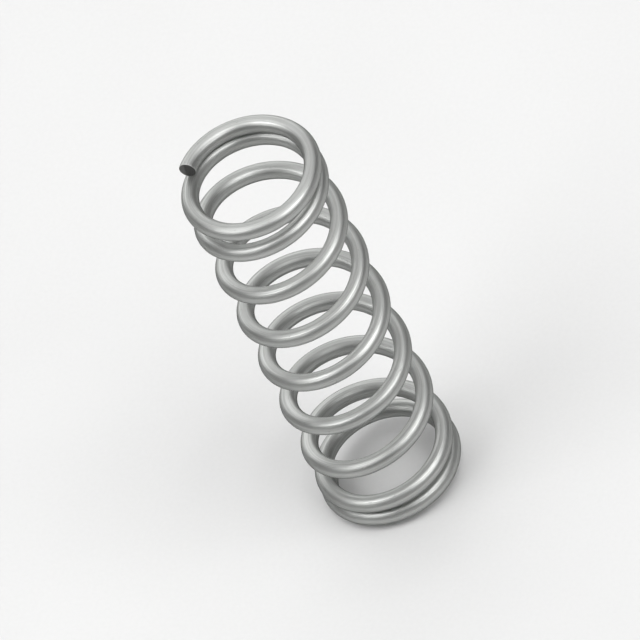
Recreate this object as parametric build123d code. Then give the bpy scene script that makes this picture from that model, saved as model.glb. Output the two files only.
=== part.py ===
from build123d import *
import math
import os

# A helical compression spring, coiled right-handed from round spring wire. Its ends are closed and
# not ground: at each end one coil lies on the next, and then the pitch opens out to the active coils.
# The axis is Z, the spring stands on Z = 0, and the lower tip of the wire is on the +X side.

# Driving dimensions, in millimetres
wire_diameter = 2.0
outside_diameter = 16.6
free_length = 54.5
closed_coil_gap = 0.03  # between coils that only just touch on the real spring

# Driving counts
total_coils = 9.0
closed_coils = 1.0  # at each end, at the closed pitch
opening_coils = 1.0  # at each end, over which the pitch grows
arcs_per_coil = 12

# Worked out from them
mean_radius = (outside_diameter - wire_diameter) / 2
lead_angle_closed = math.atan(wire_diameter / (2 * math.pi * mean_radius))
closed_pitch = wire_diameter / math.cos(lead_angle_closed) + closed_coil_gap
half_climb = (free_length - wire_diameter) / 2
half_opened_coils = total_coils / 2 - closed_coils - opening_coils / 2
active_pitch = closed_pitch + (half_climb - closed_pitch * total_coils / 2) / half_opened_coils


def climb_from_tip(coils):
    """How far the wire climbs along the axis in its first coils, counted from either tip."""
    in_opening = min(max(coils - closed_coils, 0), opening_coils)
    in_active = max(coils - closed_coils - opening_coils, 0)
    opened = in_opening**2 / (2 * opening_coils) + in_active
    return closed_pitch * coils + (active_pitch - closed_pitch) * opened


def centreline_point(coils):
    """The middle of the wire, so many coils up from the lower tip. Both halves are alike."""
    if coils <= total_coils / 2:
        climb = climb_from_tip(coils)
    else:
        climb = 2 * half_climb - climb_from_tip(total_coils - coils)
    turned = 2 * math.pi * coils
    return Vector(
        mean_radius * math.cos(turned),
        mean_radius * math.sin(turned),
        wire_diameter / 2 + climb,
    )


def centreline():
    """The helix of changing pitch, as arcs that each start in the direction where the last one ended."""
    arc_count = math.ceil(total_coils * arcs_per_coil)
    points = [centreline_point(total_coils * i / arc_count) for i in range(arc_count + 1)]
    direction = Vector(0, 2 * math.pi * mean_radius, closed_pitch).normalized()
    arcs = []
    for start, end in zip(points, points[1:]):
        arc = TangentArc(start, end, tangent=direction)
        arcs.append(arc)
        direction = arc % 1
    return Wire(arcs)


def spring():
    """The wire's round section swept along its centreline, cut square at both tips."""
    path = centreline()
    section = Plane(origin=path @ 0, z_dir=path % 0) * Circle(wire_diameter / 2)
    return sweep(section, path=path)


os.makedirs("parts", exist_ok=True)
export_step(spring(), "parts/spring.step")
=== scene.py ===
import math

import bpy
import numpy as np
from mathutils import Matrix, Vector


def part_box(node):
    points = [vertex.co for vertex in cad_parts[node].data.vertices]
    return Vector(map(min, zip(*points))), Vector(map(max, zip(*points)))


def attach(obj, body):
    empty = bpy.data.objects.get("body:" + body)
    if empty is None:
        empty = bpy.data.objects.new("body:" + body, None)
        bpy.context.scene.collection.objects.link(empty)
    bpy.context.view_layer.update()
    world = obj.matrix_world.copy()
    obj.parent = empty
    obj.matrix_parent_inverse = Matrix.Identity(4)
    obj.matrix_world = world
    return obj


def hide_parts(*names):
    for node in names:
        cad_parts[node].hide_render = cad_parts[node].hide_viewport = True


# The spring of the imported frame, dressed as drawn steel wire on a plain pale floor. Metres, +Z up.

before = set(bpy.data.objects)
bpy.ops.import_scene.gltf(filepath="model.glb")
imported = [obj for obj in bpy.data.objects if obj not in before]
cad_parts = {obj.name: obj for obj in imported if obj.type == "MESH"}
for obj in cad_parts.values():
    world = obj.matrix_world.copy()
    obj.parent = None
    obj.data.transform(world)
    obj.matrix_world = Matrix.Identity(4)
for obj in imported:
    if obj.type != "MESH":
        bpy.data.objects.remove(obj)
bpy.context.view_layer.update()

# The wire, as the part has it
MM = 0.001
WIRE_DIAMETER = 2.0 * MM
CLOSED_COIL_GAP = 0.03 * MM
TOTAL_COILS = 9
CLOSED_COILS = 1.0  # at each end, at the closed pitch
OPENING_COILS = 1.0  # at each end, over which the pitch grows

# Worked out from the frame
lowest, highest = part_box("spring")
wire_radius = WIRE_DIAMETER / 2
free_length = lowest.z + highest.z
mean_radius = (highest.x - lowest.x) / 2 - wire_radius
closed_lead = math.atan(WIRE_DIAMETER / (2 * math.pi * mean_radius))
closed_pitch = WIRE_DIAMETER / math.cos(closed_lead) + CLOSED_COIL_GAP
half_climb = free_length / 2 - wire_radius
half_opened_coils = TOTAL_COILS / 2 - CLOSED_COILS - OPENING_COILS / 2
active_pitch = closed_pitch + (half_climb - closed_pitch * TOTAL_COILS / 2) / half_opened_coils

# The mesh of the wire
RINGS_PER_COIL = 112
POINTS_AROUND = 64
EDGE_RADIUS = 0.05 * MM
EDGE_RINGS = 5
FACE_RINGS = 14
UV_MARGIN = 0.03  # share of a strip or a disc's square
UPPER_DISC_COLUMN = 2

# Relief of the sheared tips, always inward. Places on a cut face are shares of the wire's radius
SHEAR_STEP = 0.035 * MM
SHEAR_GRAIN = 0.02 * MM
RELIEF_RIM = 0.25
LIP_EDGE = 0.25
LIP_WAVER = 0.08
LIP_WAVER_RATE = 5
LIP_STEEPNESS = 18

# The torn grain is two crossed waves: the rate of each, how far it bends, and the rate of its bends
OUTWARD_GRAIN = (41, 3, 23)
UPWARD_GRAIN = (37, 2, 29)

# Patterns on the wire as if it lay straight: how much each is squeezed along the wire, outward and
# upward, its features per millimetre, and its detail. A number below 1 stretches it out
DIE_LINES = ((0.008, 1, 1), 8.5, 6.0)
MOTTLE = ((0.3, 1, 1), 0.9, 3.0)
SPECKS = ((0.8, 1, 1), 3.2, 2.0)
RUB_WANDER = ((0.12, 0, 0), 1.0, 2.0)
RUB_BREAKS = ((0.15, 2, 2), 1.5, 3.0)
TORN_GRAIN = ((1, 1, 1), 12.0, 4.0)
BLADE_LINES = ((1, 0.08, 1), 9.0, 3.0)

# Other real sizes of what the materials show
DIE_LINE_DEPTH = 0.02 * MM
TORN_DEPTH = 0.02 * MM
RUBBED_HALF_WIDTH = 0.36 * MM
RUBBED_WANDER = 0.12 * MM
FLOOR_GRAIN = 0.5 * MM
FLOOR_CLOUD = 30 * MM
FLOOR_DEPTH = 0.01 * MM

# Colours
STEEL_DARK = (0.365, 0.371, 0.362, 1)
STEEL_LIGHT = (0.52, 0.529, 0.516, 1)
STEEL_RUBBED = (0.53, 0.538, 0.526, 1)
STEEL_SPECK = (0.20, 0.195, 0.185, 1)
TORN_DARK = (0.07, 0.07, 0.068, 1)
TORN_LIGHT = (0.13, 0.13, 0.127, 1)
LIP_DARK = (0.10, 0.10, 0.098, 1)
LIP_LIGHT = (0.14, 0.14, 0.137, 1)
FLOOR_DARK = (0.69, 0.69, 0.687, 1)
FLOOR_LIGHT = (0.71, 0.71, 0.708, 1)
WHITE = (1, 1, 1, 1)
BLACK = (0, 0, 0, 1)

# Roughness, of the darker and the lighter shade where there are two
STEEL_ROUGHNESS = (0.52, 0.38)
RUBBED_SMOOTHER = 0.06
SPECK_ROUGHER = 0.3
TORN_ROUGHNESS = 0.65
LIP_ROUGHNESS = 0.48

# The photograph's view, a parallel one
VIEW_AZIMUTH = math.radians(-143.8)
VIEW_ELEVATION = math.radians(46.02)
VIEW_ROLL = math.radians(26.12)
FRAME_WIDTH = 70.9 * MM
CAMERA_DISTANCE = 0.4
CAMERA_REACH = (0.01, 10.0)

# The studio. A lamp's brightness is how bright it looks, where 1 is white
FLOOR_WIDTH = 8.0
LAMP_DISTANCE = 1.5
ROOM_STRENGTH = 0.10
HORIZON_STRENGTH = 0.92
HORIZON_BAND = (0.004, 0.03)  # rise of a direction, from the horizon's tone to the room's


def climb_from_tip(coils):
    """Height gained along the axis in the first coils, counted from either tip."""
    in_opening = np.clip(coils - CLOSED_COILS, 0, OPENING_COILS)
    in_active = np.maximum(coils - CLOSED_COILS - OPENING_COILS, 0)
    opened = in_opening**2 / (2 * OPENING_COILS) + in_active
    return closed_pitch * coils + (active_pitch - closed_pitch) * opened


def pitch_at(coils):
    """Height gained per coil at a station."""
    from_tip = np.minimum(coils, TOTAL_COILS - coils)
    opened = np.clip((from_tip - CLOSED_COILS) / OPENING_COILS, 0, 1)
    return closed_pitch + (active_pitch - closed_pitch) * opened


def wire_frame(coils):
    """The wire's middle, its outward, along and upward directions, and its length per coil, at an
    array of stations."""
    lower_half = coils <= TOTAL_COILS / 2
    upper_climb = 2 * half_climb - climb_from_tip(TOTAL_COILS - coils)
    climb = np.where(lower_half, climb_from_tip(coils), upper_climb)
    turned = 2 * np.pi * coils
    outward = np.stack([np.cos(turned), np.sin(turned), 0 * turned], -1)
    middle = mean_radius * outward
    middle[:, 2] = wire_radius + climb
    sweep = 2 * np.pi * mean_radius
    along = np.stack([-sweep * np.sin(turned), sweep * np.cos(turned), pitch_at(coils)], -1)
    metres_per_coil = np.linalg.norm(along, axis=-1)
    along /= metres_per_coil[:, None]
    upward = np.cross(outward, along)
    return middle, outward, along, upward, metres_per_coil


def mesh_rings():
    """Station, distance in from the tip plane (signed along the wire) and radius of every ring."""
    face_radii = np.linspace(0, wire_radius - EDGE_RADIUS, FACE_RINGS + 1)[1:-1]
    turns = np.linspace(0, np.pi / 2, EDGE_RINGS)
    edge_insets = EDGE_RADIUS * (1 - np.cos(turns))
    edge_radii = wire_radius - EDGE_RADIUS * (1 - np.sin(turns))
    tip_insets = np.concatenate([0 * face_radii, edge_insets])
    tip_radii = np.concatenate([face_radii, edge_radii])
    between = np.arange(1, TOTAL_COILS * RINGS_PER_COIL) / RINGS_PER_COIL
    coils = np.concatenate([0 * tip_radii, between, 0 * tip_radii + TOTAL_COILS])
    insets = np.concatenate([tip_insets, 0 * between, -tip_insets[::-1]])
    radii = np.concatenate([tip_radii, 0 * between + wire_radius, tip_radii[::-1]])
    return coils, insets, radii


def bent_wave(along, across, grain):
    """A wave in one direction, from -1 to 1, that bends to and fro across it."""
    rate, bend, bend_rate = grain
    return np.sin(rate * along + bend * np.sin(bend_rate * across))


def shear_relief(out, up):
    """How far a point of a cut face lies in from the tip plane: a smooth lip, then torn grain."""
    out_share = out / wire_radius
    up_share = up / wire_radius
    lip_edge = LIP_EDGE - LIP_WAVER * np.sin(LIP_WAVER_RATE * up_share)
    torn = 1 / (1 + np.exp((out_share - lip_edge) * LIP_STEEPNESS))
    grain = bent_wave(out_share, up_share, OUTWARD_GRAIN) * bent_wave(up_share, out_share, UPWARD_GRAIN)
    off_rim = np.clip((1 - np.hypot(out_share, up_share)) / RELIEF_RIM, 0, 1)
    return off_rim * torn * (SHEAR_STEP + SHEAR_GRAIN * (1 + grain) / 2)


def spring_wire():
    """The whole wire as one closed mesh, with fine rounded edges and a cut face at both tips."""
    coils, insets, radii = mesh_rings()
    middle, outward, along, upward, metres_per_coil = wire_frame(coils)
    steps = np.diff(coils) * (metres_per_coil[1:] + metres_per_coil[:-1]) / 2
    length = np.concatenate([[0.0], np.cumsum(steps)])

    turns = 2 * np.pi * np.arange(POINTS_AROUND) / POINTS_AROUND
    out = radii[:, None] * np.cos(turns)
    up = radii[:, None] * np.sin(turns)
    on_face = radii[:, None] <= wire_radius - EDGE_RADIUS
    side = np.where(coils[:, None] < TOTAL_COILS / 2, 1, -1)
    inset = insets[:, None] + side * on_face * shear_relief(out, up)
    points = (middle[:, None] + inset[..., None] * along[:, None]
              + out[..., None] * outward[:, None] + up[..., None] * upward[:, None])
    straight = np.stack([length[:, None] + inset, out, up], -1)

    # The middle of each cut face is one more point
    relief = float(shear_relief(0.0, 0.0))
    middles = [middle[0] + relief * along[0], middle[-1] - relief * along[-1]]
    straight_middles = [(relief, 0, 0), (length[-1] - relief, 0, 0)]
    all_points = np.concatenate([points.reshape(-1, 3), middles])
    all_straight = np.concatenate([straight.reshape(-1, 3), straight_middles])

    quads, is_cut = wire_quads(len(coils))
    lower_fan = face_fan(0, len(all_points) - 2, True)
    upper_fan = face_fan(len(coils) - 1, len(all_points) - 1, False)
    mesh = bpy.data.meshes.new("spring_wire")
    mesh.from_pydata(all_points.tolist(), [], quads.tolist() + lower_fan.tolist() + upper_fan.tolist())
    mesh.shade_smooth()
    attribute = mesh.attributes.new("straight", "FLOAT_VECTOR", "POINT")
    attribute.data.foreach_set("vector", all_straight.ravel())
    slots = np.concatenate([is_cut.astype(int), np.ones(2 * POINTS_AROUND, int)])
    mesh.polygons.foreach_set("material_index", slots)
    unroll(mesh, coils, length + insets, is_cut, all_straight)
    mesh.materials.append(drawn_steel())
    mesh.materials.append(sheared_steel())

    piece = bpy.data.objects.new("spring_wire", mesh)
    bpy.context.scene.collection.objects.link(piece)
    return piece


def wire_quads(ring_count):
    """Corner numbers of the quads between rings, and which of them lie on a cut face."""
    ring, turn = np.meshgrid(np.arange(ring_count - 1), np.arange(POINTS_AROUND), indexing="ij")
    ring, turn = ring.ravel(), turn.ravel()
    here = ring * POINTS_AROUND
    beyond = here + POINTS_AROUND
    following = (turn + 1) % POINTS_AROUND
    quads = np.stack([here + turn, beyond + turn, beyond + following, here + following], -1)
    face_rings = FACE_RINGS - 1
    is_cut = (ring < face_rings) | (ring >= ring_count - 1 - face_rings)
    return quads, is_cut


def face_fan(ring, middle, is_lower):
    """Triangles that close a cut face's innermost ring to its middle point."""
    spoke = np.arange(POINTS_AROUND)
    here = ring * POINTS_AROUND + spoke
    following = ring * POINTS_AROUND + (spoke + 1) % POINTS_AROUND
    corners = (here, following) if is_lower else (following, here)
    return np.stack([*corners, 0 * spoke + middle], -1)


def unroll(mesh, coils, arc, is_cut, straight):
    """One straight strip of the map for every coil, and a row above them for the two cut faces."""
    rows = TOTAL_COILS + 1
    ring, turn = np.divmod(np.arange(len(is_cut)), POINTS_AROUND)
    coil = np.floor((coils[ring] + coils[ring + 1]) / 2).clip(max=TOTAL_COILS - 1).astype(int)
    coil_ends = np.interp(np.arange(TOTAL_COILS + 1), coils, arc)
    corner_ring = np.stack([ring, ring + 1, ring + 1, ring], -1)
    corner_turn = np.stack([turn, turn, turn + 1, turn + 1], -1)
    share = (arc[corner_ring] - coil_ends[coil, None]) / np.diff(coil_ends)[coil, None]
    across = UV_MARGIN + (1 - 2 * UV_MARGIN) * share
    around = UV_MARGIN + (1 - 2 * UV_MARGIN) * corner_turn / POINTS_AROUND
    strips = np.stack([across, (coil[:, None] + around) / rows], -1).reshape(-1, 2)

    corners = np.zeros(len(mesh.loops), int)
    mesh.loops.foreach_get("vertex_index", corners)
    points = straight[corners]
    is_upper = points[:, 0] > points[:, 0].max() / 2
    disc_scale = (0.5 - UV_MARGIN) / rows / wire_radius
    disc_middle = (np.where(is_upper, UPPER_DISC_COLUMN, 0) + 0.5) / rows
    facing = np.where(is_upper, -1, 1)
    disc_map = np.stack([disc_middle + facing * points[:, 1] * disc_scale,
                         (TOTAL_COILS + 0.5) / rows + points[:, 2] * disc_scale], -1)
    on_strip = ~np.repeat(is_cut, 4)
    disc_map[:len(strips)][on_strip] = strips[on_strip]
    mesh.uv_layers.new(name="OFBake").data.foreach_set("uv", disc_map.ravel())


def new_material(name):
    material = bpy.data.materials.new(name)
    material.use_nodes = True
    tree = material.node_tree
    return material, tree, tree.nodes["Principled BSDF"]


def straight_wire(tree, squeeze=(1, 1, 1)):
    """Coordinates on the wire as if it lay straight, in millimetres: along it, outward and upward."""
    attribute = tree.nodes.new("ShaderNodeAttribute")
    attribute.attribute_name = "straight"
    scale = tree.nodes.new("ShaderNodeVectorMath")
    scale.operation = "MULTIPLY"
    scale.inputs[1].default_value = [factor / MM for factor in squeeze]
    tree.links.new(attribute.outputs["Vector"], scale.inputs[0])
    return scale.outputs["Vector"]


def separate(tree, vector):
    """The outputs X, Y and Z of a vector."""
    node = tree.nodes.new("ShaderNodeSeparateXYZ")
    tree.links.new(vector, node.inputs["Vector"])
    return node.outputs


def noise(tree, vector, scale, detail):
    node = tree.nodes.new("ShaderNodeTexNoise")
    node.inputs["Scale"].default_value = scale
    node.inputs["Detail"].default_value = detail
    tree.links.new(vector, node.inputs["Vector"])
    return node.outputs["Fac"]


def wire_pattern(tree, pattern):
    squeeze, per_millimetre, detail = pattern
    return noise(tree, straight_wire(tree, squeeze), per_millimetre, detail)


def remap(tree, value, from_range, to_range):
    node = tree.nodes.new("ShaderNodeMapRange")
    node.interpolation_type = "SMOOTHSTEP"
    node.inputs["From Min"].default_value, node.inputs["From Max"].default_value = from_range
    node.inputs["To Min"].default_value, node.inputs["To Max"].default_value = to_range
    tree.links.new(value, node.inputs["Value"])
    return node.outputs["Result"]


def calculate(tree, operation, *values):
    node = tree.nodes.new("ShaderNodeMath")
    node.operation = operation
    for socket, value in zip(node.inputs, values):
        if isinstance(value, (int, float)):
            socket.default_value = value
        else:
            tree.links.new(value, socket)
    return node.outputs["Value"]


def average(tree, first, second):
    return calculate(tree, "MULTIPLY", calculate(tree, "ADD", first, second), 0.5)


def mix_colour(tree, factor, first, second):
    node = tree.nodes.new("ShaderNodeMix")
    node.data_type = "RGBA"
    for socket, value in ((node.inputs[0], factor), (node.inputs[6], first), (node.inputs[7], second)):
        if isinstance(value, tuple):
            socket.default_value = value
        else:
            tree.links.new(value, socket)
    return node.outputs[2]


def bump(tree, height, distance, strength):
    node = tree.nodes.new("ShaderNodeBump")
    node.inputs["Distance"].default_value = distance
    node.inputs["Strength"].default_value = strength
    tree.links.new(height, node.inputs["Height"])
    return node.outputs["Normal"]


def drawn_steel():
    """Satin drawn wire: fine lines along it from the die, faint mottling, a line along the outer side
    where the coiling tools rubbed it bright, and small dark specks."""
    material, tree, shader = new_material("drawn_steel")
    die_lines = wire_pattern(tree, DIE_LINES)
    line_shade = remap(tree, die_lines, (0.38, 0.62), (0.0, 1.0))
    shade = average(tree, line_shade, wire_pattern(tree, MOTTLE))
    rubbed = rubbed_line(tree)
    specks = remap(tree, wire_pattern(tree, SPECKS), (0.70, 0.78), (0.0, 0.5))

    skin = mix_colour(tree, shade, STEEL_DARK, STEEL_LIGHT)
    rubbed_skin = mix_colour(tree, rubbed, skin, STEEL_RUBBED)
    colour = mix_colour(tree, specks, rubbed_skin, STEEL_SPECK)
    tree.links.new(colour, shader.inputs["Base Color"])

    skin_roughness = remap(tree, shade, (0.1, 0.9), STEEL_ROUGHNESS)
    smoother = calculate(tree, "MULTIPLY", rubbed, RUBBED_SMOOTHER)
    rougher = calculate(tree, "MULTIPLY", specks, SPECK_ROUGHER)
    roughness = calculate(tree, "ADD", calculate(tree, "SUBTRACT", skin_roughness, smoother), rougher)
    tree.links.new(roughness, shader.inputs["Roughness"])
    tree.links.new(bump(tree, die_lines, DIE_LINE_DEPTH, 0.9), shader.inputs["Normal"])
    shader.inputs["Metallic"].default_value = 1.0
    shader.inputs["Specular Tint"].default_value = BLACK
    shader.inputs["Anisotropic"].default_value = 0.3
    shader.inputs["Anisotropic Rotation"].default_value = 0.25
    return material


def rubbed_line(tree):
    """From 0 to 1: a broken narrow band along the side of the wire that faces out of the coils."""
    place = separate(tree, straight_wire(tree))
    outward, upward = place["Y"], place["Z"]
    wander = RUBBED_WANDER / MM
    line = remap(tree, wire_pattern(tree, RUB_WANDER), (0.3, 0.7), (-wander, wander))
    off_line = calculate(tree, "ABSOLUTE", calculate(tree, "SUBTRACT", upward, line))
    half_width = RUBBED_HALF_WIDTH / MM
    near = remap(tree, off_line, (half_width / 3, half_width), (1.0, 0.0))
    outer = remap(tree, outward, (0.3, 0.8), (0.0, 1.0))
    broken = remap(tree, wire_pattern(tree, RUB_BREAKS), (0.35, 0.6), (0.1, 0.6))
    return calculate(tree, "MULTIPLY", calculate(tree, "MULTIPLY", near, outer), broken)


def sheared_steel():
    """The cut faces: a smoother lip where the blade went in, a torn dull rest, and both darker than
    the drawn skin."""
    material, tree, shader = new_material("sheared_steel")
    grain = wire_pattern(tree, TORN_GRAIN)
    outward = separate(tree, straight_wire(tree))["Y"]
    lip = remap(tree, outward, (0.1, 0.4), (0.0, 1.0))

    torn_colour = mix_colour(tree, remap(tree, grain, (0.3, 0.7), (0.0, 1.0)), TORN_DARK, TORN_LIGHT)
    lip_colour = mix_colour(tree, wire_pattern(tree, BLADE_LINES), LIP_DARK, LIP_LIGHT)
    tree.links.new(mix_colour(tree, lip, torn_colour, lip_colour), shader.inputs["Base Color"])
    roughness = remap(tree, lip, (0.0, 1.0), (TORN_ROUGHNESS, LIP_ROUGHNESS))
    tree.links.new(roughness, shader.inputs["Roughness"])
    tree.links.new(bump(tree, grain, TORN_DEPTH, 0.5), shader.inputs["Normal"])
    shader.inputs["Metallic"].default_value = 1.0
    return material


def pale_floor():
    """A pale matt sheet that the spring stands on, far wider than the view."""
    bpy.ops.mesh.primitive_plane_add(size=FLOOR_WIDTH)
    floor = bpy.context.object
    floor.name = "floor"
    material, tree, shader = new_material("pale_floor")
    place = tree.nodes.new("ShaderNodeNewGeometry").outputs["Position"]
    fibres = noise(tree, place, 1 / FLOOR_GRAIN, 4.0)
    clouds = noise(tree, place, 1 / FLOOR_CLOUD, 2.0)
    shade = remap(tree, average(tree, fibres, clouds), (0.3, 0.7), (0.0, 1.0))
    tree.links.new(mix_colour(tree, shade, FLOOR_DARK, FLOOR_LIGHT), shader.inputs["Base Color"])
    tree.links.new(bump(tree, fibres, FLOOR_DEPTH, 0.3), shader.inputs["Normal"])
    shader.inputs["Roughness"].default_value = 0.9
    shader.inputs["Specular IOR Level"].default_value = 0.2
    floor.data.materials.append(material)


def level_axes():
    """The level directions to the camera's right and from the spring to the camera's side."""
    right = Vector((math.cos(VIEW_AZIMUTH), math.sin(VIEW_AZIMUTH), 0))
    towards_camera = Vector((math.sin(VIEW_AZIMUTH), -math.cos(VIEW_AZIMUTH), 0))
    return right, towards_camera


def raised(level, elevation):
    """A level direction turned up by an angle."""
    return level * math.cos(elevation) + Vector((0, 0, math.sin(elevation)))


def camera():
    """The photograph's view, rolled about its own line of sight and aimed at the spring's middle."""
    level_right, towards_camera = level_axes()
    back = raised(towards_camera, VIEW_ELEVATION)
    level_up = back.cross(level_right)
    right = math.cos(VIEW_ROLL) * level_right - math.sin(VIEW_ROLL) * level_up
    up = math.sin(VIEW_ROLL) * level_right + math.cos(VIEW_ROLL) * level_up

    data = bpy.data.cameras.new("camera")
    data.type = "ORTHO"
    data.ortho_scale = FRAME_WIDTH
    data.clip_start, data.clip_end = CAMERA_REACH
    piece = bpy.data.objects.new("camera", data)
    middle = Vector((0, 0, free_length / 2))
    turn = Matrix((right, up, back)).transposed().to_4x4()
    piece.matrix_world = Matrix.Translation(middle + back * CAMERA_DISTANCE) @ turn
    bpy.context.scene.collection.objects.link(piece)
    bpy.context.scene.camera = piece


def softbox(name, bearing, elevation, size, brightness):
    """An area lamp that faces the spring. Bearing 0 is the camera's side, and it grows to the
    camera's right."""
    level_right, towards_camera = level_axes()
    bearing = math.radians(bearing)
    level = towards_camera * math.cos(bearing) + level_right * math.sin(bearing)
    direction = raised(level, math.radians(elevation))
    data = bpy.data.lights.new(name, "AREA")
    data.shape = "RECTANGLE"
    data.size, data.size_y = size
    data.energy = brightness * math.pi * size[0] * size[1]
    lamp = bpy.data.objects.new(name, data)
    lamp.location = Vector((0, 0, free_length / 2)) + direction * LAMP_DISTANCE
    lamp.rotation_euler = direction.to_track_quat("Z", "Y").to_euler()
    lamp.visible_camera = False
    bpy.context.scene.collection.objects.link(lamp)


def studio():
    """Two soft lamps that draw the bright lines on the wire, a panel behind and a sheet overhead."""
    softbox("key", bearing=41, elevation=57, size=(0.95, 0.95), brightness=4.1)
    softbox("left_fill", bearing=-77, elevation=53, size=(0.95, 0.95), brightness=3.0)
    softbox("back_panel", bearing=180, elevation=19, size=(2.1, 1.0), brightness=1.95)
    softbox("overhead", bearing=180, elevation=81, size=(2.6, 2.0), brightness=1.07)


def surroundings():
    """A dim room above the floor, and at the floor's horizon and below it the floor's own pale tone."""
    world = bpy.data.worlds.new("studio")
    world.use_nodes = True
    tree = world.node_tree
    background = tree.nodes["Background"]
    background.inputs["Color"].default_value = WHITE
    direction = tree.nodes.new("ShaderNodeTexCoord").outputs["Generated"]
    height = separate(tree, direction)["Z"]
    strength = remap(tree, height, HORIZON_BAND, (HORIZON_STRENGTH, ROOM_STRENGTH))
    tree.links.new(strength, background.inputs["Strength"])
    bpy.context.scene.world = world


wire = spring_wire()
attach(wire, "root")
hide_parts("spring")
pale_floor()
camera()
studio()
surroundings()
bpy.context.scene.view_settings.view_transform = "Standard"
